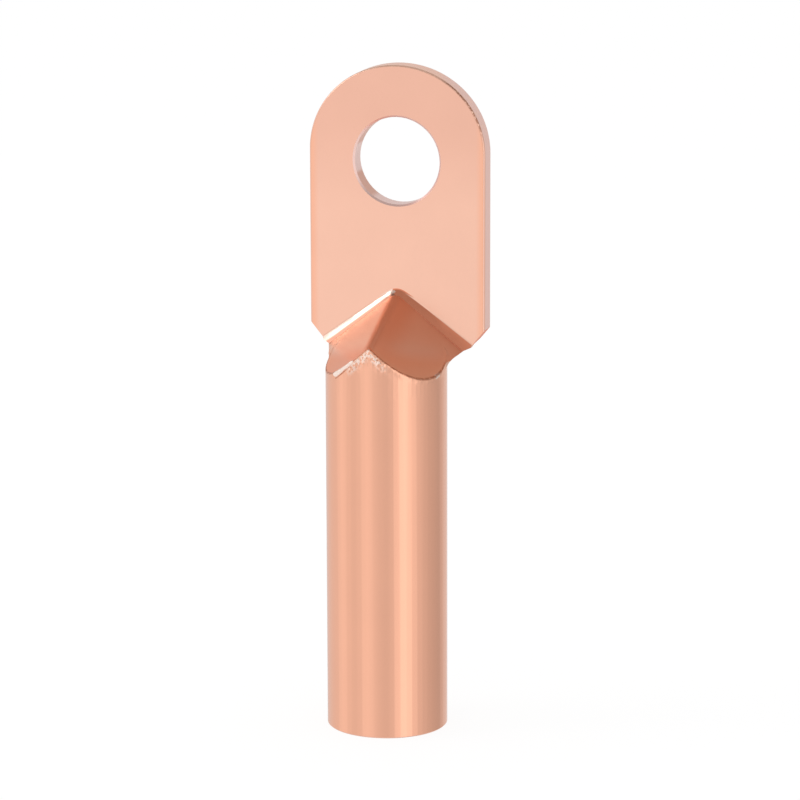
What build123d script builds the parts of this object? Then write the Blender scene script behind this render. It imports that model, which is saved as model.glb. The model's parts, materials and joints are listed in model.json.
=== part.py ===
"""Copper cable lug: a one-piece crimp terminal with a blind barrel and a pressed palm.

Millimetres, +Z up. The origin is the centre of the barrel's mouth, so the lug stands
on its square-cut barrel end with the cable entering from below. The palm's front
face, where the press nose struck, looks along -Y, and its flat back looks along +Y.
"""

import os
from math import asin, atan2, degrees, hypot, radians, tan

from build123d import *

# Barrel: round rod, drilled from below to take the stranded conductor
barrel_diameter = 20.0
bore_diameter = 15.0
bore_depth = 49.0
drill_point_angle = 118.0
mouth_lead_in = 0.5
mouth_outer_break = 0.2

# Palm: the flat pad that is bolted to a busbar
overall_length = 109.6
palm_width = 30.0
palm_thickness = 3.6
crown_height = 14.3
corner_height = 63.7
corner_cut_width = 2.15
corner_cut_height = 2.6
front_edge_radius = 0.35
back_edge_radius = 0.25

# Stud hole
stud_hole_diameter = 14.5
stud_hole_setback = 15.8
stud_hole_edge_break = 0.3

# Press mark: the two sloping facets that the V-shaped nose leaves above the barrel
facet_top_height = 72.0
facet_top_angle = 38.3
facet_foot_height = 65.8
facet_foot_angle = 43.0
ridge_top_radius = 1.6
ridge_foot_radius = 1.0

# Bevel: the narrow band between the facets and the palm, which widens towards the corners
bevel_depth = 0.85
bevel_height_at_ridge = 1.0
bevel_height_at_sides = 2.2
bevel_ridge_radius = 2.5
bevel_edge_break = 0.15

# Shoulders: the metal that flares from the round barrel out to the palm's corners
shoulder_drop = 1.9
shoulder_flare_angle = 21.0
shoulder_root_radius = 2.0
shoulder_bend_radius = 3.0

# Back: pressed flat a little inside the round barrel, with a curved run-out
back_recess = 0.3
back_flat_height = 55.5
back_run_out_radius = 8.0

# Working sizes
barrel_radius = barrel_diameter / 2
bore_radius = bore_diameter / 2
palm_back = barrel_radius - back_recess
palm_front = palm_back - palm_thickness
palm_half_width = palm_width / 2
corner_half_width = palm_half_width - corner_cut_width
clearance = 2.0
ceiling = overall_length + clearance


def nose_section(depth, peak_height, flank_slope, peak_radius):
    """Section of the press nose at a depth along Y: all above two flanks that meet at a rounded peak."""
    reach = palm_half_width + clearance
    flank_end = peak_height - reach * flank_slope
    with BuildSketch(Plane.XZ.offset(-depth)) as section:
        with BuildLine():
            Polyline(
                (0, peak_height),
                (reach, flank_end),
                (reach, ceiling),
                (-reach, ceiling),
                (-reach, flank_end),
                close=True,
            )
        make_face()
        fillet(section.vertices().group_by(Axis.X)[1], peak_radius)
    return section.sketch


def rises_past_press_mark(edge):
    """Whether an edge belongs to the palm's sides or crown, which reach above the press mark."""
    return edge.bounding_box().max.Z > bevel_top_height


def at_nose_root(top, foot):
    """A facet's value where the nose ends: carried on in line from the bevel past the barrel's front."""
    return foot + (foot - top) * clearance / (facet_top_depth + barrel_radius)


# The press nose. Its flat end forms the palm's face and its two lower flanks form the facets, with
# a bevel between them. It is drawn as three sections: one at the palm's face, one where the bevel
# meets the facets and one just clear of the barrel's front.
facet_top_depth = palm_front - bevel_depth
top_slope = tan(radians(facet_top_angle))
foot_slope = tan(radians(facet_foot_angle))
bevel_top_height = facet_top_height + bevel_height_at_ridge
bevel_widening = (bevel_height_at_sides - bevel_height_at_ridge) / palm_half_width
nose_end = nose_section(palm_front, bevel_top_height, top_slope - bevel_widening, bevel_ridge_radius)
nose_break = nose_section(facet_top_depth, facet_top_height, top_slope, ridge_top_radius)
nose_root = nose_section(
    -barrel_radius - clearance,
    at_nose_root(facet_top_height, facet_foot_height),
    at_nose_root(top_slope, foot_slope),
    at_nose_root(ridge_top_radius, ridge_foot_radius),
)

with BuildPart() as press_nose:
    loft([nose_end, nose_break, nose_root], ruled=True)
    end_face = press_nose.faces().sort_by(Axis.Y)[-1]
    bevel_edges = end_face.edges().filter_by_position(Axis.Z, -ceiling, bevel_top_height)
    chamfer(bevel_edges, bevel_edge_break)

with BuildPart() as cable_lug:
    # Head: a trumpet of metal round the barrel's axis that flares from the barrel to the corners
    with BuildSketch(Plane.XZ) as trumpet:
        shoulder_root = corner_height - shoulder_drop
        shoulder_foot = shoulder_root - shoulder_root_radius
        flare_rise = palm_width * tan(radians(shoulder_flare_angle))
        with BuildLine():
            flare = FilletPolyline(
                (barrel_radius, shoulder_foot),
                (barrel_radius, shoulder_root),
                (barrel_radius + palm_width, shoulder_root + flare_rise),
                radius=shoulder_root_radius,
            )
            Polyline(
                flare @ 1,
                ((flare @ 1).X, ceiling),
                (0, ceiling),
                (0, shoulder_foot),
                flare @ 0,
            )
        make_face()
    revolve(axis=Axis.Z)

    # Seen from above, the head narrows from the palm's corners back to the round barrel.
    # The bend turns just so far that the straight side runs on from it to the corner.
    with BuildSketch(Plane.XY) as head_plan:
        corner_offset = corner_half_width - barrel_radius - shoulder_bend_radius
        bend_angle = asin(shoulder_bend_radius / hypot(corner_offset, palm_front))
        bend_angle += atan2(corner_offset, palm_front)
        with BuildLine():
            bend = JernArc(
                start=(barrel_radius, 0),
                tangent=(0, 1),
                radius=shoulder_bend_radius,
                arc_size=-degrees(bend_angle),
            )
            Polyline(
                bend @ 1,
                (corner_half_width, palm_front),
                (palm_half_width + clearance, palm_front),
                (palm_half_width + clearance, palm_back),
                (0, palm_back),
                (0, 0),
                bend @ 0,
            )
        make_face()
        mirror(about=Plane.YZ)
    extrude(amount=ceiling, mode=Mode.INTERSECT)

    # Seen from the front, the palm has a round crown, straight sides and cut lower corners
    with BuildSketch(Plane.XZ.offset(-palm_back)) as palm_outline:
        crown_foot = overall_length - crown_height
        with BuildLine():
            Polyline(
                (palm_half_width, crown_foot),
                (palm_half_width, corner_height + corner_cut_height),
                (corner_half_width, corner_height),
                (corner_half_width, 0),
                (0, 0),
            )
            mirror(about=Plane.YZ)
            EllipticalCenterArc(
                (0, crown_foot),
                x_radius=palm_half_width,
                y_radius=crown_height,
                start_angle=0,
                arc_size=180,
            )
        make_face()
    extrude(amount=palm_back + barrel_radius, mode=Mode.INTERSECT)

    # The solid rod that runs up into the head
    with BuildSketch(Plane.XY) as rod:
        Circle(barrel_radius)
    extrude(amount=facet_top_height)

    add(press_nose.part, mode=Mode.SUBTRACT)

    # The flat back and its run-out
    with BuildSketch(Plane.YZ) as back_cut:
        with BuildLine():
            run_out = JernArc(
                start=(palm_back, back_flat_height),
                tangent=(0, -1),
                radius=back_run_out_radius,
                arc_size=90,
            )
            beyond_barrel = barrel_radius + back_run_out_radius
            Polyline(
                run_out @ 1,
                (beyond_barrel, (run_out @ 1).Y),
                (beyond_barrel, ceiling),
                (palm_back, ceiling),
                run_out @ 0,
            )
        make_face()
    extrude(amount=palm_width, both=True, mode=Mode.SUBTRACT)

    # The sheared edges round the palm, slightly rounded on both faces
    palm_faces = cable_lug.faces().filter_by(Axis.Y).filter_by(GeomType.PLANE)
    front_rim = palm_faces.sort_by(Axis.Y)[0].outer_wire().edges().filter_by(rises_past_press_mark)
    fillet(front_rim, front_edge_radius)
    palm_faces = cable_lug.faces().filter_by(Axis.Y).filter_by(GeomType.PLANE)
    back_rim = palm_faces.sort_by(Axis.Y)[-1].outer_wire().edges().filter_by(rises_past_press_mark)
    fillet(back_rim, back_edge_radius)

    # Stud hole, with its edges broken on both faces
    stud_hole_height = overall_length - stud_hole_setback
    with Locations(Plane(origin=(0, palm_front, stud_hole_height), z_dir=(0, -1, 0))):
        Hole(stud_hole_diameter / 2, depth=palm_thickness)
    hole_rims = cable_lug.edges(Select.LAST).filter_by(GeomType.CIRCLE)
    chamfer(hole_rims, stud_hole_edge_break)

    # Blind bore with the cone that its drill leaves
    with BuildSketch(Plane.XZ) as bore:
        cone_height = bore_radius / tan(radians(drill_point_angle / 2))
        with BuildLine():
            Polyline(
                (0, 0),
                (bore_radius, 0),
                (bore_radius, bore_depth),
                (0, bore_depth + cone_height),
                close=True,
            )
        make_face()
    revolve(axis=Axis.Z, mode=Mode.SUBTRACT)

    # Mouth: a lead-in for the strands and a light break on the saw cut
    mouth_edges = cable_lug.edges().group_by(Axis.Z)[0].sort_by(SortBy.RADIUS)
    chamfer(mouth_edges[0], mouth_lead_in)
    chamfer(mouth_edges[-1], mouth_outer_break)

cable_lug.part.label = "cable_lug"

os.makedirs("parts", exist_ok=True)
export_step(cable_lug.part, "parts/cable_lug.step")
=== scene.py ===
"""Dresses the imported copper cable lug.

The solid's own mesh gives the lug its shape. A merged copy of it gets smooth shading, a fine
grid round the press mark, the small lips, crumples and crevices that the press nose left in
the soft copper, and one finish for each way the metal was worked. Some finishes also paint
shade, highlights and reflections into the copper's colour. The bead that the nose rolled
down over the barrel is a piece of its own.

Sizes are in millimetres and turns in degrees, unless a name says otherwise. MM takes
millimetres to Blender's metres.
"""

import json
import logging
import math
from dataclasses import dataclass
from enum import Enum
from typing import Any, Mapping, Sequence, TypeVar

import bmesh
import bpy
from mathutils import Matrix, Vector, noise


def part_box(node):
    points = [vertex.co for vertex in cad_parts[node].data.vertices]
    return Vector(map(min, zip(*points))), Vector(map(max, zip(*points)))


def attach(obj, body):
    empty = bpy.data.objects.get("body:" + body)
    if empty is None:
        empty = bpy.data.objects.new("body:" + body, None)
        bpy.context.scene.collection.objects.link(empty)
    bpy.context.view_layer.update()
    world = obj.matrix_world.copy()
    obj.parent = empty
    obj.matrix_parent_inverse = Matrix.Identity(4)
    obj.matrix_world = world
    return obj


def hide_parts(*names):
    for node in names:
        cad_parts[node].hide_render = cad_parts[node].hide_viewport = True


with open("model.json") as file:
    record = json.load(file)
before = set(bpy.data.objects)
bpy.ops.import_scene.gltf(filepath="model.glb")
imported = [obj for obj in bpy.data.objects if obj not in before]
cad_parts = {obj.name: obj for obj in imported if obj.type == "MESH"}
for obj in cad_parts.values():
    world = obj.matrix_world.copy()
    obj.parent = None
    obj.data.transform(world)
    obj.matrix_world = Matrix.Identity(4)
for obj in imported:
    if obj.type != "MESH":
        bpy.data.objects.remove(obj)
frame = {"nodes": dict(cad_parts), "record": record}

MM = 0.001
log = logging.getLogger("cable_lug")

# A tone is red, green and blue, and a colour may also come from a socket. A span is a low and
# a high value, or a first and a last one. Over a window's four values, a share rises between
# the first two and falls between the last two. Heights are a steady, a coarse and a fine part.
Socket = bpy.types.NodeSocket
Tone = tuple[float, float, float]
Colour = Socket | tuple[float, ...]
Span = tuple[float, float]
Window = tuple[float, float, float, float]
PerAxis = tuple[float, float, float]
Heights = tuple[float, float, float]


class Worked(Enum):
    """How a stretch of the copper was worked, which sets its finish, or the painted shade or highlight that
    it takes.
    """

    DRAWN = 0
    PRESSED = 1
    STRUCK = 2
    # The next three are painted: shade on the right bevel and the downward corner cuts, a highlight in the
    # left bevel's bright band, and a highlight on the rolled bead, which is also torn copper.
    DULLED = 3
    BURNISHED = 4
    TORN = 5
    SHEARED = 6
    ROLLED = 7
    PUNCHED = 8
    SAWN = 9
    DRILLED = 10


class Signal:
    """A number that varies over a surface. Arithmetic on it adds Math nodes."""

    def __init__(self, graph: "NodeGraph", socket: Socket) -> None:
        """Wraps an output socket of the graph."""
        self.graph = graph
        self.socket = socket

    def _math(self, operation: str, *values: "Signal | float", clamp: bool = False) -> "Signal":
        """Adds one Math node.

        Args:
            operation: the node's operation.
            values: what it works on.
            clamp: whether its result is held between 0 and 1.

        Returns:
            The node's result.
        """
        settings = {"operation": operation, "use_clamp": clamp}
        node = self.graph.node("ShaderNodeMath", settings, dict(enumerate(values)))
        return self.graph.signal(node)

    def __add__(self, other: "Signal | float") -> "Signal":
        """Sum."""
        return self._math("ADD", self, other)

    __radd__ = __add__

    def __sub__(self, other: "Signal | float") -> "Signal":
        """Difference."""
        return self._math("SUBTRACT", self, other)

    def __rsub__(self, other: "Signal | float") -> "Signal":
        """Difference from a plain number."""
        return self._math("SUBTRACT", other, self)

    def __mul__(self, other: "Signal | float") -> "Signal":
        """Product."""
        return self._math("MULTIPLY", self, other)

    __rmul__ = __mul__

    def __truediv__(self, other: "Signal | float") -> "Signal":
        """Quotient."""
        return self._math("DIVIDE", self, other)

    def __pow__(self, other: float) -> "Signal":
        """Power."""
        return self._math("POWER", self, other)

    def __abs__(self) -> "Signal":
        """The value without its sign."""
        return self._math("ABSOLUTE", self)

    def turn_from(self, other: "Signal") -> "Signal":
        """Angle in radians of the point (other, self) about the origin."""
        return self._math("ARCTAN2", self, other)

    def clamped(self) -> "Signal":
        """The value held between 0 and 1."""
        return self._math("ADD", self, 0.0, clamp=True)

    def step(self, low: float, high: float) -> "Signal":
        """A smooth rise.

        Args:
            low: the value up to which the share is 0.
            high: the value from which it is 1.

        Returns:
            The share.
        """
        settings = {"interpolation_type": "SMOOTHSTEP"}
        inputs = {"Value": self, "From Min": low, "From Max": high, "To Min": 0.0, "To Max": 1.0}
        return self.graph.signal(self.graph.node("ShaderNodeMapRange", settings, inputs))

    def fall(self, low: float, high: float) -> "Signal":
        """A smooth fall from 1 at low to 0 at high."""
        return 1.0 - self.step(low, high)

    def within(self, window: Window) -> "Signal":
        """A share that rises over a window's first two values and falls over its last two."""
        return self.step(*window[:2]) * self.fall(*window[2:])

    def streak(self, spread: float) -> "Signal":
        """A share that is 1 where the value is 0 and reaches 0 a spread away on either side."""
        away = self / spread
        return (1.0 - away * away).clamped()


Measure = TypeVar("Measure", float, Signal)


class NodeGraph:
    """A node tree that is filled from Python expressions."""

    def __init__(self, tree: bpy.types.NodeTree) -> None:
        """Empties the tree and takes it over."""
        self.tree = tree
        tree.nodes.clear()

    def node(
        self,
        kind: str,
        settings: Mapping[str, Any] | None = None,
        inputs: Mapping[str | int, Any] | None = None,
    ) -> bpy.types.Node:
        """Adds a node, sets it up and feeds its sockets.

        Args:
            kind: Blender's name for the node's type.
            settings: the node's own properties, and "stops" for a colour ramp.
            inputs: values, Signals or sockets by the input's name or number.

        Returns:
            The new node.
        """
        made = self.tree.nodes.new(kind)
        for name, value in (settings or {}).items():
            if name == "stops":
                self._set_stops(made.color_ramp, value)
            else:
                setattr(made, name, value)
        for name, value in (inputs or {}).items():
            socket = self._input(made, name)
            if isinstance(value, Signal):
                self.tree.links.new(value.socket, socket)
            elif isinstance(value, Socket):
                self.tree.links.new(value, socket)
            else:
                socket.default_value = value
        return made

    @staticmethod
    def _input(node: bpy.types.Node, name: str | int) -> Socket:
        """The enabled input of a name or number.

        Args:
            node: the node.
            name: the input's name, which several types may share, or its number.

        Returns:
            The input.
        """
        if isinstance(name, int):
            return node.inputs[name]
        return next(socket for socket in node.inputs if socket.name == name and socket.enabled)

    @staticmethod
    def _set_stops(ramp: bpy.types.ColorRamp, stops: Sequence[Span]) -> None:
        """Sets a grey ramp's stops, with straight stretches between them.

        Args:
            ramp: the ramp.
            stops: each stop's position and level.
        """
        ramp.interpolation = "LINEAR"
        while len(ramp.elements) < len(stops):
            ramp.elements.new(1.0)
        for element, (position, level) in zip(ramp.elements, stops):
            element.position = position
            element.color = (level, level, level, 1.0)

    def signal(self, node: bpy.types.Node, output: str | int = 0) -> Signal:
        """One output of a node as a Signal."""
        return Signal(self, node.outputs[output])

    def blend(self, first: Colour, second: Colour, share: Signal) -> Socket:
        """Mixes two colours by a share that varies over the surface.

        Args:
            first: the colour where the share is 0.
            second: the colour where it is 1.
            share: the share.

        Returns:
            The mixed colour.
        """
        inputs = {"Factor": share, "A": self._opaque(first), "B": self._opaque(second)}
        mix = self.node("ShaderNodeMix", {"data_type": "RGBA"}, inputs)
        return next(socket for socket in mix.outputs if socket.enabled)

    @staticmethod
    def _opaque(colour: Colour) -> Colour:
        """A plain colour with its alpha of 1, or a socket as it is."""
        return (*colour[:3], 1.0) if isinstance(colour, tuple) else colour

    def measured(self, place: Socket) -> tuple[Signal, Signal, Signal]:
        """Measures a point of the object.

        Args:
            place: the point, in metres.

        Returns:
            How far across, how deep towards the back and how high it lies, in millimetres.
        """
        axes = self.node("ShaderNodeSeparateXYZ", inputs={0: place})
        across, depth, height = (self.signal(axes, name) / MM for name in "XYZ")
        return across, depth, height

    def noise(self, place: Socket, per_mm: PerAxis, detail: float) -> Signal:
        """Noise over the object.

        Args:
            place: the point on the object.
            per_mm: how fine the noise is on each axis.
            detail: how many finer layers it has.

        Returns:
            The noise, about 0.5.
        """
        scale = Vector(per_mm) / MM
        mapping = self.node("ShaderNodeMapping", inputs={"Vector": place, "Scale": scale})
        inputs = {"Vector": mapping.outputs["Vector"], "Scale": 1.0, "Detail": detail}
        return self.signal(self.node("ShaderNodeTexNoise", inputs=inputs), "Fac")


def smooth_rise(value: float, low: float, high: float) -> float:
    """A smooth rise from 0 at low to 1 at high."""
    share = min(1.0, max(0.0, (value - low) / (high - low)))
    return share * share * (3.0 - 2.0 * share)


def rise_and_fall(value: float, window: Window) -> float:
    """A smooth rise over a window's first two values and a smooth fall over its last two."""
    return smooth_rise(value, *window[:2]) * (1.0 - smooth_rise(value, *window[2:]))


def bump_at(value: float, centre: float, spread: float) -> float:
    """A bell-shaped bump of height 1."""
    return math.exp(-(((value - centre) / spread) ** 2))


def part_way(span: Span, share: Measure) -> Measure:
    """The value at a share of the way from a span's first value to its last."""
    return share * (span[1] - span[0]) + span[0]


def new_material(name: str) -> tuple[bpy.types.Material, NodeGraph]:
    """Makes an empty material.

    Args:
        name: its name.

    Returns:
        The material and its graph.
    """
    material = bpy.data.materials.new(name)
    material.use_nodes = True
    return material, NodeGraph(material.node_tree)


def new_object(shell: bmesh.types.BMesh, name: str) -> bpy.types.Object:
    """Puts a bmesh into the scene as an object at the origin.

    Args:
        shell: the bmesh, which is freed.
        name: the object's and the mesh's name.

    Returns:
        The object.
    """
    mesh = bpy.data.meshes.new(name)
    shell.to_mesh(mesh)
    shell.free()
    made = bpy.data.objects.new(name, mesh)
    bpy.context.scene.collection.objects.link(made)
    return made


@dataclass(frozen=True)
class LugSizes:
    """The solid's sizes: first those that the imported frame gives, then the source's others."""

    barrel_radius: float
    overall_length: float
    palm_back: float
    bore_radius: float
    bore_depth: float
    hole_radius: float
    hole_height: float
    palm_thickness: float = 3.6
    crown_height: float = 14.3
    corner_height: float = 63.7
    corner_cut_height: float = 2.6
    bevel_depth: float = 0.85

    @classmethod
    def of_frame(cls, node_name: str) -> "LugSizes":
        """Reads the sizes from a node's box and from the record's mounts.

        Args:
            node_name: the node.

        Returns:
            The sizes.
        """
        low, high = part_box(node_name)
        mounts = {mount["name"]: mount for mount in frame["record"]["mounts"]}
        bore = mounts["cable_bore"]
        hole = mounts["stud_hole"]
        return cls(
            barrel_radius=round(-low.y / MM, 2),
            overall_length=round(high.z / MM, 2),
            palm_back=round(mounts["contact_face"]["pos_m"][1] / MM, 2),
            bore_radius=bore["dims"]["r_mm"],
            bore_depth=round(bore["pos_m"][2] / MM + bore["dims"]["length_mm"], 2),
            hole_radius=hole["dims"]["r_mm"],
            hole_height=round(hole["pos_m"][2] / MM, 2),
        )

    @property
    def palm_front(self) -> float:
        """Depth of the palm's front face."""
        return self.palm_back - self.palm_thickness

    @property
    def facet_top_depth(self) -> float:
        """Depth at which the facets end and the bevel begins."""
        return self.palm_front - self.bevel_depth

    @property
    def corner_top(self) -> float:
        """Height at which the cut corners run into the palm's straight sides."""
        return self.corner_height + self.corner_cut_height

    @property
    def crown_foot(self) -> float:
        """Height at which the palm's straight sides run into its crown."""
        return self.overall_length - self.crown_height


NODE_NAME = "cable_lug"
SIZES = LugSizes.of_frame(NODE_NAME)

# The rolled bead's low and high end on the barrel, as turns from its front
BEAD_TURNS: Span = (-39.5, -15.0)


@dataclass(frozen=True)
class PressMark:
    """The V-shaped press mark of the solid and the seam that it leaves on the barrel."""

    barrel_radius: float = SIZES.barrel_radius
    top_depth: float = SIZES.facet_top_depth
    heights: Span = (72.0, 65.8)
    angles: Span = (38.3, 43.0)
    slope_step: float = 0.5

    def facet_height(self, across: Measure, depth: Measure) -> Measure:
        """Height of the facets over a point, without the rounding of their ridge.

        Args:
            across: the point's place across the lug.
            depth: its depth.

        Returns:
            The height.
        """
        share = (self.top_depth - depth) / (self.top_depth + self.barrel_radius)
        top_slope, foot_slope = (math.tan(math.radians(angle)) for angle in self.angles)
        return part_way(self.heights, share) - part_way((top_slope, foot_slope), share) * abs(across)

    def on_barrel(self, turn: float, height: float, proud: float = 0.0) -> Vector:
        """A point of the barrel's surface.

        Args:
            turn: its turn from the barrel's front.
            height: its height.
            proud: how far it stands off the surface.

        Returns:
            The point.
        """
        radius = self.barrel_radius + proud
        angle = math.radians(turn)
        return Vector((radius * math.sin(angle), -radius * math.cos(angle), height))

    @staticmethod
    def turn_of(point: Vector) -> float:
        """Turn of a point from the barrel's front."""
        return math.degrees(math.atan2(point.x, -point.y))

    def seam_height(self, turn: float) -> float:
        """Height of the seam on the barrel at a turn from its front."""
        point = self.on_barrel(turn, 0.0)
        return self.facet_height(point.x, point.y)

    def below_seam(self, point: Vector) -> float:
        """Distance below the seam, at right angles to it.

        Args:
            point: the point on the barrel or on a facet.

        Returns:
            The distance, which is negative on the facets.
        """
        turn = self.turn_of(point)
        rise = self.seam_height(turn + self.slope_step) - self.seam_height(turn - self.slope_step)
        slope = rise / (2 * math.radians(self.slope_step) * self.barrel_radius)
        return (self.seam_height(turn) - point.z) / math.hypot(1.0, slope)


class StainAndPaintedLight:
    """A change of the copper's colour over a part of a surface: a real stain, or painted shade and
    highlights.
    """

    def over(self, graph: NodeGraph, place: Socket, tone: Colour) -> Socket:
        """Lays the change over a tone.

        Args:
            graph: the material's graph.
            place: the point on the object.
            tone: the copper's colour without it.

        Returns:
            The colour with it.
        """
        raise NotImplementedError


@dataclass(frozen=True)
class SeamPaintedLight(StainAndPaintedLight):
    """Painted shade and glints along the seam of the press mark. The dark line is painted shade in
    the seam's crease and a painted contact shadow under the rolled bead. The bright specks are
    painted glints on the torn copper and at the seam's right end, and the dark pits are
    painted shade.

    Drops are heights below the facets, so that a drop is 0 along the seam. The painted marks come
    up over the skin, a stretch just inside the barrel's round.
    """

    mark: PressMark = PressMark()
    # dark is painted shade in the seam's line, under the bead and in the pits; bright is painted glints
    dark: Tone = (0.4, 0.13, 0.06)
    bright: Tone = (0.99, 0.8, 0.7)
    skin: Span = (0.3, 0.15)
    line_drop: float = 0.05
    line_spread: float = 0.13
    line_depth: Span = (-1.0, 1.5)
    line_strength: float = 0.65
    line_patches: Span = (0.38, 0.52)
    line_least: float = 0.35
    bead_drops: Span = (1.04, 0.42)
    bead_shadow_spread: float = 0.17
    bead_shadow_shares: Window = (-0.04, 0.05, 0.45, 0.9)
    ridge_across: float = -0.6
    torn_half_width: Span = (2.0, 4.0)
    torn_drops: Window = (0.1, 0.35, 1.0, 2.4)
    torn_depth: Span = (-5.0, -1.0)
    speck_per_mm: float = 1.9
    specks: Span = (0.44, 0.52)
    speck_strength: float = 0.85
    pit_per_mm: float = 3.23
    pits: Span = (0.6, 0.66)
    pit_strength: float = 0.6
    end_glint_turns: Window = (69.0, 71.0, 76.0, 78.5)
    end_glint_drops: Window = (0.0, 0.08, 0.35, 0.5)

    def over(self, graph: NodeGraph, place: Socket, tone: Colour) -> Socket:
        """Lays the painted glints of the specks and the painted shade of the pits and of the line over a
        tone.

        Args:
            graph: the material's graph.
            place: the point on the object.
            tone: the copper's colour without them.

        Returns:
            The colour with them.
        """
        across, depth, height = graph.measured(place)
        drop = self.mark.facet_height(across, depth) - height
        turn = across.turn_from(depth * -1.0) * math.degrees(1.0)
        speckle = graph.noise(place, (self.speck_per_mm,) * 3, detail=2.0)
        pitting = graph.noise(place, (self.pit_per_mm,) * 3, detail=1.0)
        from_axis = (across * across + depth * depth) ** 0.5
        at_barrel = from_axis.step(*(self.mark.barrel_radius - inwards for inwards in self.skin))

        near_ridge = abs(across - self.ridge_across).fall(*self.torn_half_width)
        torn = near_ridge * drop.within(self.torn_drops) * depth.fall(*self.torn_depth) * at_barrel
        burr_glint = turn.within(self.end_glint_turns) * drop.within(self.end_glint_drops) * at_barrel
        # Painted glints on the torn copper and at the seam's right end, and painted shade in the pits
        bright = torn * speckle.step(*self.specks) + burr_glint
        dark = torn * pitting.step(*self.pits)

        # Painted shade along the seam's crease, and a painted contact shadow under the rolled bead
        patches = part_way((self.line_least, 1.0), speckle.step(*self.line_patches))
        seam_line_shade = (drop - self.line_drop).streak(self.line_spread)
        seam_line_shade = seam_line_shade * patches * depth.fall(*self.line_depth)
        bead_share = (turn - BEAD_TURNS[0]) / (BEAD_TURNS[1] - BEAD_TURNS[0])
        bead_shadow = (drop - part_way(self.bead_drops, bead_share)).streak(self.bead_shadow_spread)
        bead_shadow = bead_shadow * bead_share.within(self.bead_shadow_shares)
        line = (seam_line_shade + bead_shadow) * at_barrel

        shown = graph.blend(tone, self.bright, bright * self.speck_strength)
        shown = graph.blend(shown, self.dark, dark * self.pit_strength)
        return graph.blend(shown, self.dark, line * self.line_strength)


@dataclass(frozen=True)
class RimPaintedLight(StainAndPaintedLight):
    """Painted shade in a crack and painted glints on the burrs along the palm's rolled front rim,
    with a brighter tone over the crown's top.

    Turns run round the crown from the palm's right side over its top.
    """

    crown_foot: float = SIZES.crown_foot
    # dark is painted shade in the crack; bright is painted glints on the burrs and along the side
    dark: Tone = (0.34, 0.13, 0.07)
    bright: Tone = (1.0, 0.64, 0.48)
    top_tone: Tone = (1.0, 0.6, 0.45)
    side_turns: Window = (6.0, 22.0, 50.0, 62.0)
    top_turns: Window = (50.0, 66.0, 112.0, 126.0)
    top_strength: float = 0.85
    burr_per_mm: float = 1.6
    burrs: Span = (0.48, 0.54)
    burr_depth: Span = (7.0, 8.2)
    glints: Span = (0.6, 0.64)
    bright_strength: float = 0.9
    cracks: Span = (0.42, 0.5)
    crack_depth: Span = (6.3, 6.42)
    crack_strength: float = 0.75

    def over(self, graph: NodeGraph, place: Socket, tone: Colour) -> Socket:
        """Lays the crack's painted shade and the burrs' painted glints over a tone.

        Args:
            graph: the material's graph.
            place: the point on the object.
            tone: the copper's colour without them.

        Returns:
            The colour with them.
        """
        across, depth, height = graph.measured(place)
        turn = (height - self.crown_foot).turn_from(across) * math.degrees(1.0)
        speckle = graph.noise(place, (self.burr_per_mm,) * 3, detail=2.0)
        at_side = turn.within(self.side_turns)
        at_top = turn.within(self.top_turns)
        # Painted shade in the crack, and painted glints on the burrs at the top and along the side
        crack_shade = at_side * speckle.step(*self.cracks) * depth.fall(*self.crack_depth)
        burr_glint = at_top * speckle.step(*self.burrs) * depth.fall(*self.burr_depth)
        bright = (burr_glint + at_side * speckle.step(*self.glints)).clamped()
        shown = graph.blend(tone, self.top_tone, at_top * self.top_strength)
        shown = graph.blend(shown, self.dark, crack_shade * self.crack_strength)
        return graph.blend(shown, self.bright, bright * self.bright_strength)


@dataclass(frozen=True)
class HoleStain(StainAndPaintedLight):
    """The torn brown stretches of the stud hole's wall, above and below its smooth sheared one.

    Heights are from the hole's middle.
    """

    middle: float = SIZES.hole_height
    torn: Tone = (0.72, 0.36, 0.25)
    torn_below: Window = (-6.3, -5.6, -2.5, -1.8)
    torn_above: Span = (2.2, 2.9)
    wall_depth: Span = (6.36, 6.44)
    strength: float = 0.8

    def over(self, graph: NodeGraph, place: Socket, tone: Colour) -> Socket:
        """Lays the torn stretches over a tone.

        Args:
            graph: the material's graph.
            place: the point on the object.
            tone: the copper's colour where it was sheared.

        Returns:
            The colour with them.
        """
        _, depth, height = graph.measured(place)
        rise = height - self.middle
        torn = (rise.within(self.torn_below) + rise.step(*self.torn_above)).clamped()
        return graph.blend(tone, self.torn, torn * depth.step(*self.wall_depth) * self.strength)


@dataclass(frozen=True)
class PalmShade(StainAndPaintedLight):
    """Painted shade that darkens the palm towards its crown, and a more orange colour along its sides."""

    # Painted shade: the palm grows darker towards its crown
    crown_shade: Tone = (0.86, 0.485, 0.365)
    crown_shade_height: Span = (84.0, 101.0)
    warmer: Tone = (0.93, 0.48, 0.33)
    warmer_across: Span = (13.3, 14.6)

    def over(self, graph: NodeGraph, place: Socket, tone: Colour) -> Socket:
        """Lays the painted shade towards the crown and the more orange colour along the sides over a tone.

        Args:
            graph: the material's graph.
            place: the point on the object.
            tone: the colour of the palm's middle.

        Returns:
            The colour with them.
        """
        across, _, height = graph.measured(place)
        # Painted shade towards the crown
        shown = graph.blend(tone, self.crown_shade, height.step(*self.crown_shade_height))
        return graph.blend(shown, self.warmer, abs(across).step(*self.warmer_across))


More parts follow.
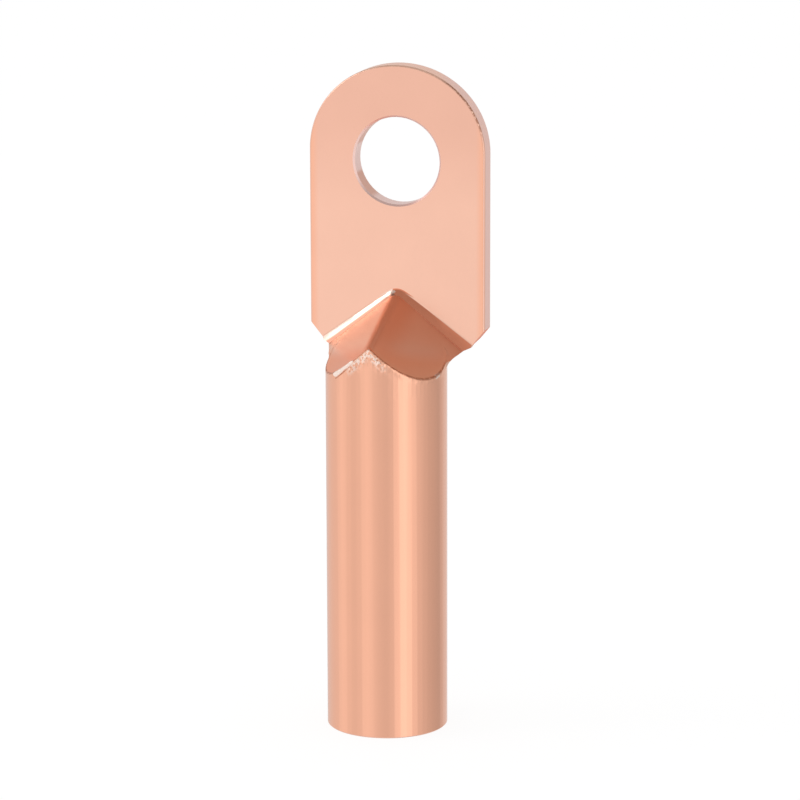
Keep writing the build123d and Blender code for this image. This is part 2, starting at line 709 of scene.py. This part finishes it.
@dataclass(frozen=True)
class FacetZones(StainAndPaintedLight):
    """Painted light and shade over the struck facets: a paler painted highlight on the left, and
    darker painted shade along the ridge and far out.
    """

    # left is a painted highlight; ridge and outer are painted shade
    left: Tone = (0.98, 0.65, 0.51)
    left_across: Span = (-1.6, -0.6)
    ridge: Tone = (0.88, 0.4, 0.25)
    ridge_across: Span = (1.5, 5.0)
    outer: Tone = (0.94, 0.38, 0.22)
    outer_reach: Span = (6.5, 10.5)
    depth_share: float = 0.85

    def over(self, graph: NodeGraph, place: Socket, tone: Colour) -> Socket:
        """Lays the painted highlight and shade over a tone.

        Args:
            graph: the material's graph.
            place: the point on the object.
            tone: the colour of the right facet's middle.

        Returns:
            The colour with them.
        """
        across, depth, _ = graph.measured(place)
        reach = abs(across) - depth * self.depth_share
        # Painted shade along the ridge and far out, and a painted highlight on the left
        shown = graph.blend(self.ridge, tone, across.step(*self.ridge_across))
        shown = graph.blend(self.left, shown, across.step(*self.left_across))
        return graph.blend(shown, self.outer, reach.step(*self.outer_reach))


@dataclass(frozen=True)
class BevelPaintedShade(StainAndPaintedLight):
    """Painted shade over the left bevel's foot, which narrows the bevel's painted bright band."""

    # Painted shade over the bevel's foot, below its painted bright band
    foot: Tone = (0.42, 0.2, 0.14)
    bright_band_depth: Span = (5.46, 5.72)

    def over(self, graph: NodeGraph, place: Socket, tone: Colour) -> Socket:
        """Lays the painted shade of the foot over the bevel's painted highlight."""
        _, depth, _ = graph.measured(place)
        return graph.blend(self.foot, tone, depth.step(*self.bright_band_depth))


@dataclass(frozen=True)
class CopperFinish:
    """Bare copper as one way of working leaves it, in some finishes with painted light and shade.

    The grain is a noise with a scale of its own on each axis, so that a small number draws it
    out into lines along that axis. The stains and the painted light and shade lie over the colour
    in their order.
    """

    name: str
    colour: Tone = (0.92, 0.54, 0.41)
    stains_and_painted_light: tuple[StainAndPaintedLight, ...] = ()
    edge_tint: Tone = (1.0, 1.0, 1.0)
    shade_swing: float = 0.03
    roughness: float = 0.34
    roughness_swing: float = 0.05
    grain_per_mm: PerAxis = (2.0, 2.0, 2.0)
    grain_height: float = 0.0004
    wave_per_mm: float = 0.12
    wave_height: float = 0.002

    def make(self) -> bpy.types.Material:
        """Builds the material.

        Returns:
            The finished material.
        """
        material, graph = new_material(self.name)
        place = graph.node("ShaderNodeTexCoord").outputs["Object"]
        grain = graph.noise(place, self.grain_per_mm, detail=4.0)
        waves = graph.noise(place, (self.wave_per_mm,) * 3, detail=2.0)
        shade = (waves - 0.5) * (2 * self.shade_swing) + (grain - 0.5) * self.shade_swing + 1.0
        tone: Colour = (*self.colour, 1.0)
        # Real stains and painted light and shade lie over the tone in their order
        for layer in self.stains_and_painted_light:
            tone = layer.over(graph, place, tone)
        colour = graph.node("ShaderNodeHueSaturation", inputs={"Value": shade, "Color": tone})
        roughness = (grain - 0.5) * (2 * self.roughness_swing) + self.roughness
        height = grain * (self.grain_height * MM) + waves * (self.wave_height * MM)
        bump = graph.node("ShaderNodeBump", inputs={"Strength": 1.0, "Distance": 1.0, "Height": height})
        shader = graph.node(
            "ShaderNodeBsdfPrincipled",
            inputs={
                "Base Color": colour.outputs["Color"],
                "Metallic": 1.0,
                "Specular Tint": (*self.edge_tint, 1.0),
                "Roughness": roughness,
                "Normal": bump.outputs["Normal"],
            },
        )
        graph.node("ShaderNodeOutputMaterial", inputs={"Surface": shader.outputs["BSDF"]})
        return material


FINISHES: dict[Worked, CopperFinish] = {
    Worked.DRAWN: CopperFinish(
        "copper_drawn",
        colour=(0.92, 0.475, 0.325),
        stains_and_painted_light=(SeamPaintedLight(),),
        shade_swing=0.02,
        roughness=0.2,
        roughness_swing=0.03,
        grain_per_mm=(5.0, 5.0, 0.02),
        grain_height=0.00015,
        wave_height=0.0005,
    ),
    Worked.PRESSED: CopperFinish(
        "copper_pressed",
        stains_and_painted_light=(PalmShade(),),
        roughness=0.17,
        grain_per_mm=(3.0, 3.0, 1.2),
        wave_height=0.001,
    ),
    # The struck facets take painted light and shade from their zones and along the seam
    Worked.STRUCK: CopperFinish(
        "copper_struck",
        colour=(0.9, 0.49, 0.34),
        stains_and_painted_light=(FacetZones(), SeamPaintedLight()),
        roughness_swing=0.03,
        wave_height=0.001,
    ),
    # Darker copper that paints shade on the right bevel and on the corner cuts that face downwards
    Worked.DULLED: CopperFinish(
        "copper_painted_shade",
        colour=(0.8, 0.28, 0.16),
        edge_tint=(0.95, 0.5, 0.35),
        roughness=0.22,
    ),
    # Paler copper that paints the left bevel's bright band as a painted highlight
    Worked.BURNISHED: CopperFinish(
        "copper_painted_highlight",
        colour=(0.95, 0.68, 0.57),
        stains_and_painted_light=(BevelPaintedShade(),),
        shade_swing=0.02,
        roughness=0.2,
    ),
    # Nearly white copper for the rolled bead: torn copper, made pale as a painted highlight
    Worked.TORN: CopperFinish(
        "copper_torn_painted_highlight",
        colour=(0.99, 0.82, 0.73),
        shade_swing=0.08,
        roughness=0.4,
        roughness_swing=0.1,
        grain_per_mm=(4.0, 4.0, 4.0),
        grain_height=0.02,
    ),
    Worked.SHEARED: CopperFinish(
        "copper_sheared",
        colour=(0.92, 0.6, 0.52),
        stains_and_painted_light=(RimPaintedLight(),),
        grain_per_mm=(8.0, 0.5, 8.0),
    ),
    Worked.ROLLED: CopperFinish(
        "copper_rolled_rim",
        stains_and_painted_light=(RimPaintedLight(),),
        grain_per_mm=(3.0, 3.0, 3.0),
    ),
    Worked.PUNCHED: CopperFinish(
        "copper_punched",
        colour=(0.93, 0.66, 0.6),
        stains_and_painted_light=(HoleStain(),),
        grain_per_mm=(8.0, 0.5, 8.0),
    ),
    Worked.SAWN: CopperFinish(
        "copper_sawn",
        roughness=0.4,
        grain_per_mm=(0.3, 9.0, 9.0),
        grain_height=0.004,
    ),
    Worked.DRILLED: CopperFinish(
        "copper_drilled",
        roughness=0.36,
        grain_per_mm=(0.3, 0.3, 6.0),
        grain_height=0.003,
    ),
}


@dataclass(frozen=True)
class SeamRelief:
    """The crumples, the lip, the low tail and the crevice that the press nose left at the seam.

    Turns are from the barrel's front. Drops are distances below the seam, and a height's
    coarse and fine parts go with a coarse and a fine noise.
    """

    reach: float = 2.6
    coarse_per_mm: float = 1.1
    fine_per_mm: float = 2.6
    fine_shift: PerAxis = (7.0, 3.0, 5.0)
    crumple_turns: Window = (-26.0, -16.0, 12.0, 24.0)
    crumple_drops: Window = (0.0, 0.25, 1.0, 2.3)
    crumple_heights: Heights = (0.05, 0.08, 0.11)
    lip_turns: Window = (0.0, 14.0, 78.0, 90.0)
    lip_drop: float = 0.35
    lip_spread: float = 0.4
    lip_heights: Heights = (0.06, 0.07, 0.04)
    tail_turns: Span = (-48.0, -38.0)
    tail_drop: float = 0.3
    tail_spread: float = 0.25
    tail_heights: Heights = (0.02, 0.02, 0.0)
    crevice_drop: float = -0.1
    crevice_spread: float = 0.16
    crevice_heights: Heights = (-0.042, -0.035, 0.0)

    def rise(self, point: Vector, turn: float, below: float) -> float:
        """How far the copper stands proud at a point near the seam.

        Args:
            point: the point.
            turn: its turn from the barrel's front.
            below: its distance below the seam, which is negative on the facets.

        Returns:
            The rise.
        """
        coarse = noise.noise(point * self.coarse_per_mm)
        fine = noise.noise(point * self.fine_per_mm + Vector(self.fine_shift))
        if below < 0.0:
            crevice = bump_at(below, self.crevice_drop, self.crevice_spread)
            return crevice * self._mixed(self.crevice_heights, coarse, fine)
        crumple = rise_and_fall(turn, self.crumple_turns) * rise_and_fall(below, self.crumple_drops)
        crumple *= self._mixed(self.crumple_heights, abs(coarse), fine)
        lip = rise_and_fall(turn, self.lip_turns) * bump_at(below, self.lip_drop, self.lip_spread)
        lip *= self._mixed(self.lip_heights, coarse, fine)
        tail = 1.0 - smooth_rise(turn, *self.tail_turns)
        tail *= bump_at(below, self.tail_drop, self.tail_spread)
        tail *= self._mixed(self.tail_heights, coarse, fine)
        return crumple + lip + tail

    @staticmethod
    def _mixed(heights: Heights, coarse: float, fine: float) -> float:
        """The sum of a height's steady part and of its coarse and fine parts."""
        return heights[0] + heights[1] * coarse + heights[2] * fine


@dataclass
class DressedLug:
    """The whole lug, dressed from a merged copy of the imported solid."""

    materials: Mapping[Worked, bpy.types.Material]
    sizes: LugSizes = SIZES
    mark: PressMark = PressMark()
    relief: SeamRelief = SeamRelief()
    merge_distance: float = 0.0005
    crease_angle: float = 30.0
    normal_weight: int = 50

    # What tells the surfaces apart: where a face's middle lies, and limits on its normal's parts
    slack: float = 0.01
    barrel_slack: float = 0.06
    mouth_height: float = 0.25
    lead_in: float = 0.5
    drill_point: float = 5.0
    hole_break: float = 0.31
    rim_width: float = 0.33
    bevel_top: float = 73.1
    corner_half_width: float = 12.8
    front_facing: float = 0.97
    hole_facing: float = 0.9
    struck_facing: Span = (-0.1, 0.4)
    bevel_facing: Span = (-0.1, 0.3)
    corner_facing: float = -0.2

    # Where the seam lies, and the grid that is cut round it
    seam_heights: Span = (57.0, 68.0)
    seam_back: float = 3.0
    seam_from_axis: float = 8.5
    grid_rise: float = 10.0
    grid_turn: float = 88.0
    grid_slack: float = 0.002
    coarse_step: float = 1.0
    coarse_turn: float = 6.0
    fine_step: float = 0.18
    fine_turn: float = 1.1

    def build(self) -> bpy.types.Object:
        """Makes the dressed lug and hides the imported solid.

        Returns:
            The finished piece.
        """
        node = frame["nodes"][NODE_NAME]
        shell = bmesh.new()
        shell.from_mesh(node.data)
        bmesh.ops.remove_doubles(shell, verts=shell.verts, dist=self.merge_distance * MM)
        self._sort_faces(shell)
        self._cut_grid(shell)
        self._roughen_seam(shell)
        self._mark_creases(shell)
        lug = new_object(shell, "dressed_lug")
        packed_normals = lug.data.attributes.get("custom_normal")
        if packed_normals:
            lug.data.attributes.remove(packed_normals)
        for worked in Worked:
            lug.data.materials.append(self.materials[worked])
        weighted = lug.modifiers.new("even_normals", "WEIGHTED_NORMAL")
        weighted.keep_sharp = True
        weighted.weight = self.normal_weight
        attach(lug, "root")
        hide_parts(NODE_NAME)
        return lug

    def _sort_faces(self, shell: bmesh.types.BMesh) -> None:
        """Gives each face the finish of the way it was worked, or of its painted shade or highlight.

        Args:
            shell: the lug.
        """
        for face in shell.faces:
            face.smooth = True
            face.material_index = self._worked(face).value

    def _worked(self, face: bmesh.types.BMFace) -> Worked:
        """Says how the copper at a face was worked, or which painted shade or highlight it takes.

        Args:
            face: the face.

        Returns:
            The way it was worked.
        """
        sizes = self.sizes
        centre = face.calc_center_median() / MM
        normal = face.normal
        from_axis = math.hypot(centre.x, centre.y)
        from_hole = math.hypot(centre.x, centre.z - sizes.hole_height)
        in_palm = centre.y > sizes.palm_front - self.slack
        if centre.z < self.mouth_height and from_axis > sizes.bore_radius:
            return Worked.SAWN
        if from_axis < sizes.bore_radius + self.lead_in and centre.z < sizes.bore_depth + self.drill_point:
            return Worked.DRILLED
        in_hole = from_hole < sizes.hole_radius + self.hole_break
        if in_palm and in_hole and abs(normal.y) < self.hole_facing:
            return Worked.PUNCHED
        if in_palm and centre.z > sizes.corner_top and abs(normal.y) < self.front_facing:
            at_rim = centre.y < sizes.palm_front + self.rim_width
            return Worked.ROLLED if at_rim else Worked.SHEARED
        if centre.z < sizes.corner_top and abs(from_axis - sizes.barrel_radius) < self.barrel_slack:
            return Worked.DRAWN
        in_mark = centre.y < self.mark.top_depth
        if in_mark and normal.y < self.struck_facing[0] and normal.z > self.struck_facing[1]:
            return Worked.STRUCK
        in_bevel = not in_mark and not in_palm and centre.z < self.bevel_top
        # The bevel's right half takes painted shade and its left half a painted highlight
        if in_bevel and normal.z > self.bevel_facing[1]:
            return Worked.DULLED if normal.x > self.bevel_facing[0] else Worked.BURNISHED
        in_corner = sizes.corner_height < centre.z < sizes.corner_top
        in_corner = in_corner and abs(centre.x) > self.corner_half_width
        # Corner cuts that face downwards take painted shade
        return Worked.DULLED if in_corner and normal.z < self.corner_facing else Worked.PRESSED

    def _cut_grid(self, shell: bmesh.types.BMesh) -> None:
        """Cuts a grid into the copper round the seam, first coarse and then fine.

        Args:
            shell: the lug.
        """
        wide = [face for face in shell.faces if self._reaches_seam(face)]
        self._slice(shell, wide, self.coarse_step, self.coarse_turn)
        near = [face for face in shell.faces if self._near_seam(face.calc_center_median() / MM)]
        self._slice(shell, near, self.fine_step, self.fine_turn)

    def _reaches_seam(self, face: bmesh.types.BMFace) -> bool:
        """Whether a large face of the barrel's front or of a facet comes near the seam.

        Args:
            face: the face.

        Returns:
            Whether it does.
        """
        heights = [vertex.co.z / MM for vertex in face.verts]
        depth = face.calc_center_median().y / MM
        low, high = self.seam_heights
        return depth <= self.seam_back and max(heights) >= low and min(heights) <= high

    def _near_seam(self, point: Vector) -> bool:
        """Whether a point lies on the barrel's front or the facets within reach of the seam."""
        in_front = point.y <= self.seam_back and math.hypot(point.x, point.y) >= self.seam_from_axis
        return in_front and abs(self.mark.below_seam(point)) < self.relief.reach

    def _slice(
        self,
        shell: bmesh.types.BMesh,
        faces: Sequence[bmesh.types.BMFace],
        step: float,
        turn: float,
    ) -> None:
        """Cuts faces by level planes and by planes through the barrel's axis.

        Args:
            shell: the lug.
            faces: the faces to cut.
            step: the rise from one level plane to the next.
            turn: the turn from one upright plane to the next.
        """
        parts = dict.fromkeys(part for face in faces for part in (*face.verts, *face.edges))
        geometry = [*parts, *faces]
        upwards = Vector((0.0, 0.0, 1.0))
        cuts = []
        for number in range(round(self.grid_rise / step)):
            cuts.append((upwards * (self.seam_heights[0] + step * number), upwards))
        for number in range(round(2 * self.grid_turn / turn)):
            angle = math.radians(-self.grid_turn + turn * (number + 0.5))
            cuts.append((Vector(), Vector((math.cos(angle), math.sin(angle), 0.0))))
        for place, normal in cuts:
            geometry = bmesh.ops.bisect_plane(
                shell,
                geom=geometry,
                dist=self.grid_slack * MM,
                plane_co=place * MM,
                plane_no=normal,
            )["geom"]

    def _roughen_seam(self, shell: bmesh.types.BMesh) -> None:
        """Raises the small lips and crumples along the seam.

        Args:
            shell: the lug.
        """
        shell.normal_update()
        low, high = self.seam_heights
        moves = []
        for vertex in shell.verts:
            point = vertex.co / MM
            if low < point.z < high and self._near_seam(point):
                rise = self.relief.rise(point, self.mark.turn_of(point), self.mark.below_seam(point))
                moves.append((vertex, vertex.normal * (rise * MM)))
        for vertex, move in moves:
            vertex.co += move

    def _mark_creases(self, shell: bmesh.types.BMesh) -> None:
        """Keeps the steep edges and the edges between the facets and their bevels sharp.

        Args:
            shell: the lug.
        """
        crease = math.radians(self.crease_angle)
        bevels = {Worked.DULLED.value, Worked.BURNISHED.value}
        for edge in shell.edges:
            finishes = {face.material_index for face in edge.link_faces}
            parts_facet = Worked.STRUCK.value in finishes and bool(bevels & finishes)
            edge.smooth = edge.is_manifold and edge.calc_face_angle(0.0) < crease and not parts_facet


@dataclass
class RolledLip:
    """The bead of copper that the press nose rolled down over the barrel, left of the ridge.

    Each span's first value is the one at the bead's low end.
    """

    materials: Mapping[Worked, bpy.types.Material]
    mark: PressMark = PressMark()
    turns: Span = BEAD_TURNS
    radii: Span = (0.46, 0.24)
    drops: Span = (0.42, 0.05)
    roundings: Span = (0.07, 0.15)
    proud: float = 0.1
    lumps: float = 0.22
    lumps_per_mm: float = 1.6
    lumps_radius: float = 0.5
    share_step: float = 0.01
    rings: int = 90
    sides: int = 18

    def build(self) -> bpy.types.Object:
        """Makes the bead.

        Returns:
            The finished piece.
        """
        shell = bmesh.new()
        bmesh.ops.create_uvsphere(shell, u_segments=self.sides, v_segments=self.rings, radius=1.0)
        for vertex in shell.verts:
            vertex.co = self._bent_over_seam(vertex.co) * MM
        bmesh.ops.recalc_face_normals(shell, faces=shell.faces)
        lip = new_object(shell, "rolled_lip")
        lip.data.shade_smooth()
        # The bead's pale copper paints its highlight
        lip.data.materials.append(self.materials[Worked.TORN])
        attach(lip, "root")
        return lip

    def _middle(self, share: float) -> Vector:
        """Middle of the bead at a place along it.

        Args:
            share: the place, as a share of the bead's length from its low end.

        Returns:
            The middle.
        """
        turn = part_way(self.turns, share)
        height = self.mark.seam_height(turn) - part_way(self.drops, share)
        return self.mark.on_barrel(turn, height, self.proud)

    def _bent_over_seam(self, place: Vector) -> Vector:
        """Takes a point of a unit ball to the bead, whose length runs from the ball's foot to its top.

        Args:
            place: the point on the ball.

        Returns:
            The point on the bead.
        """
        share = (place.z + 1.0) / 2
        middle = self._middle(share)
        along = self._middle(share + self.share_step) - self._middle(share - self.share_step)
        along.normalize()
        outwards = Vector((middle.x, middle.y, 0.0)).normalized()
        outwards = (outwards - along * outwards.dot(along)).normalized()
        angle = math.atan2(place.y, place.x)
        direction = outwards * math.cos(angle) + along.cross(outwards) * math.sin(angle)
        from_low = min(1.0, share / self.roundings[0])
        from_high = min(1.0, (1.0 - share) / self.roundings[1])
        rounding = math.sqrt((1.0 - (1.0 - from_low) ** 2) * (1.0 - (1.0 - from_high) ** 2))
        lump = noise.noise((middle + direction * self.lumps_radius) * self.lumps_per_mm)
        return middle + direction * (part_way(self.radii, share) * rounding * (1.0 + self.lumps * lump))


@dataclass(frozen=True)
class FloorFinish:
    """Plain white that still takes a soft shadow: a glow with a little matt grey over it."""

    name: str = "floor_white"
    glow: float = 0.88
    grey: float = 0.17

    def make(self) -> bpy.types.Material:
        """Builds the material.

        Returns:
            The finished material.
        """
        material, graph = new_material(self.name)
        glow = graph.node("ShaderNodeEmission", inputs={"Strength": self.glow})
        matt = graph.node("ShaderNodeBsdfDiffuse", inputs={"Color": (self.grey, self.grey, self.grey, 1.0)})
        both = graph.node("ShaderNodeAddShader", inputs={0: glow.outputs[0], 1: matt.outputs[0]})
        graph.node("ShaderNodeOutputMaterial", inputs={"Surface": both.outputs[0]})
        return material


@dataclass
class Floor:
    """A round white floor that keeps the lug's soft shadow and isn't mirrored in the copper."""

    radius: float = 1500.0
    sides: int = 96

    def build(self) -> None:
        """Makes the floor."""
        disc = bmesh.new()
        bmesh.ops.create_circle(disc, cap_ends=True, segments=self.sides, radius=self.radius * MM)
        floor = new_object(disc, "floor")
        floor.visible_glossy = False
        floor.data.materials.append(FloorFinish().make())


@dataclass
class Surroundings:
    """A white studio. The camera sees plain white, and the copper soft light and grey walls.

    The walls' levels stand against their azimuth, which is 0 towards -Y and grows towards +X.
    """

    ambient: float = 0.7
    ceiling: float = 0.5
    ceiling_from_to: Span = (0.26, 0.74)
    walls: tuple[Span, ...] = (
        (-180, 0.84), (-140, 0.77), (-120, 0.84), (-100, 0.86), (-90, 0.9), (-80, 1.05), (-70, 0.98),
        (-60, 0.9), (-50, 0.86), (-40, 0.86), (-30, 1.0), (-20, 1.05), (-10, 0.95), (0, 0.84),
        (10, 0.8), (20, 0.78), (30, 0.89), (40, 1.15), (50, 1.34), (60, 1.17), (70, 0.98),
        (80, 0.83), (100, 0.7), (120, 0.62), (135, 0.57), (150, 0.73), (180, 0.84),
    )

    def build(self) -> None:
        """Makes the world."""
        world = bpy.data.worlds.new("studio")
        bpy.context.scene.world = world
        world.use_nodes = True
        world.cycles.sampling_method = "NONE"
        graph = NodeGraph(world.node_tree)
        mirrored = self._mirrored(graph)
        light_path = graph.node("ShaderNodeLightPath")
        rays = ("Is Camera Ray", "Is Transmission Ray", "Is Glossy Ray")
        camera, through, glossy = (graph.signal(light_path, name) for name in rays)
        others = 1.0 - camera - through - glossy
        level = camera + through + glossy * mirrored + others * self.ambient
        inputs = {"Color": (1.0, 1.0, 1.0, 1.0), "Strength": level}
        background = graph.node("ShaderNodeBackground", inputs=inputs)
        graph.node("ShaderNodeOutputWorld", inputs={"Surface": background.outputs[0]})

    def _mirrored(self, graph: NodeGraph) -> Signal:
        """The level that the copper mirrors.

        Args:
            graph: the world's graph.

        Returns:
            The walls' level, which passes into the ceiling's overhead.
        """
        towards = graph.node("ShaderNodeTexCoord").outputs["Generated"]
        axes = graph.node("ShaderNodeSeparateXYZ", inputs={0: towards})
        across, depth, up = (graph.signal(axes, name) for name in "XYZ")
        azimuth = across.turn_from(depth * -1.0) / (2 * math.pi) + 0.5
        peak = max(level for _, level in self.walls)
        stops = [(angle / 360 + 0.5, level / peak) for angle, level in self.walls]
        ramp = graph.node("ShaderNodeValToRGB", {"stops": stops}, {"Fac": azimuth})
        walls = graph.signal(ramp, "Color") * peak
        overhead = up.step(*self.ceiling_from_to)
        return walls * (1.0 - overhead) + overhead * self.ceiling


@dataclass
class KeySoftBox:
    """The soft box at the upper left, which draws the bright edge along the press mark."""

    size: Span = (420.0, 340.0)
    power: float = 0.9
    direction: PerAxis = (-0.8, -0.3, 0.54)
    distance: float = 900.0
    aim_height: float = 65.0

    def build(self) -> None:
        """Makes the lamp, which looks at the press mark from a direction."""
        lamp = bpy.data.lights.new("key_soft_box", "AREA")
        lamp.shape = "RECTANGLE"
        lamp.size = self.size[0] * MM
        lamp.size_y = self.size[1] * MM
        lamp.energy = self.power
        box = bpy.data.objects.new("key_soft_box", lamp)
        bpy.context.scene.collection.objects.link(box)
        towards = Vector(self.direction).normalized()
        box.location = (Vector((0.0, 0.0, self.aim_height)) + towards * self.distance) * MM
        box.rotation_euler = towards.to_track_quat("Z", "Y").to_euler()
        box.visible_camera = False


@dataclass
class FittedCamera:
    """The camera that was fitted to the photograph.

    Its azimuth is 0 in front of the palm and grows towards +X. It aims at a point above the
    origin, a little aside. The focal length is in pixels of the photograph.
    """

    azimuth: float = 16.784
    elevation: float = 12.709
    roll: float = -0.149
    distance: float = 660.9
    aim_height: float = 55.028
    aim_aside: float = 2.218
    focal_pixels: float = 4019.7
    picture_pixels: float = 800.0
    sensor: float = 36.0
    clip: Span = (10.0, 10000.0)

    def build(self) -> None:
        """Makes the camera and gives it to the scene."""
        azimuth = math.radians(self.azimuth)
        elevation = math.radians(self.elevation)
        roll = math.radians(self.roll)
        right = Vector((math.cos(azimuth), math.sin(azimuth), 0.0))
        front = Vector((math.sin(azimuth), -math.cos(azimuth), 0.0))
        back = front * math.cos(elevation) + Vector((0.0, 0.0, math.sin(elevation)))
        up = back.cross(right)
        rolled_right = right * math.cos(roll) + up * math.sin(roll)
        rolled_up = up * math.cos(roll) - right * math.sin(roll)
        aim = right * self.aim_aside + Vector((0.0, 0.0, self.aim_height))
        data = bpy.data.cameras.new("camera")
        data.sensor_width = self.sensor
        data.lens = self.focal_pixels / self.picture_pixels * self.sensor
        data.clip_start, data.clip_end = (end * MM for end in self.clip)
        camera = bpy.data.objects.new("camera", data)
        bpy.context.scene.collection.objects.link(camera)
        turned = Matrix((rolled_right, rolled_up, back)).transposed().to_4x4()
        camera.matrix_world = Matrix.Translation((aim + back * self.distance) * MM) @ turned
        bpy.context.scene.camera = camera


def main() -> None:
    """Builds the lug and the studio round it, and reports each piece."""
    logging.basicConfig(level=logging.INFO, format="%(name)s: %(message)s")
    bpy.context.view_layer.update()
    materials = {worked: finish.make() for worked, finish in FINISHES.items()}
    for maker in (DressedLug(materials), RolledLip(materials)):
        piece = maker.build()
        log.info("%s: %d faces", piece.name, len(piece.data.polygons))
    scene = bpy.context.scene
    scene.view_settings.view_transform = "Standard"
    for studio_part in (Floor(), Surroundings(), KeySoftBox(), FittedCamera()):
        studio_part.build()
        log.info("%s built", type(studio_part).__name__)


if __name__ == "__main__":
    main()
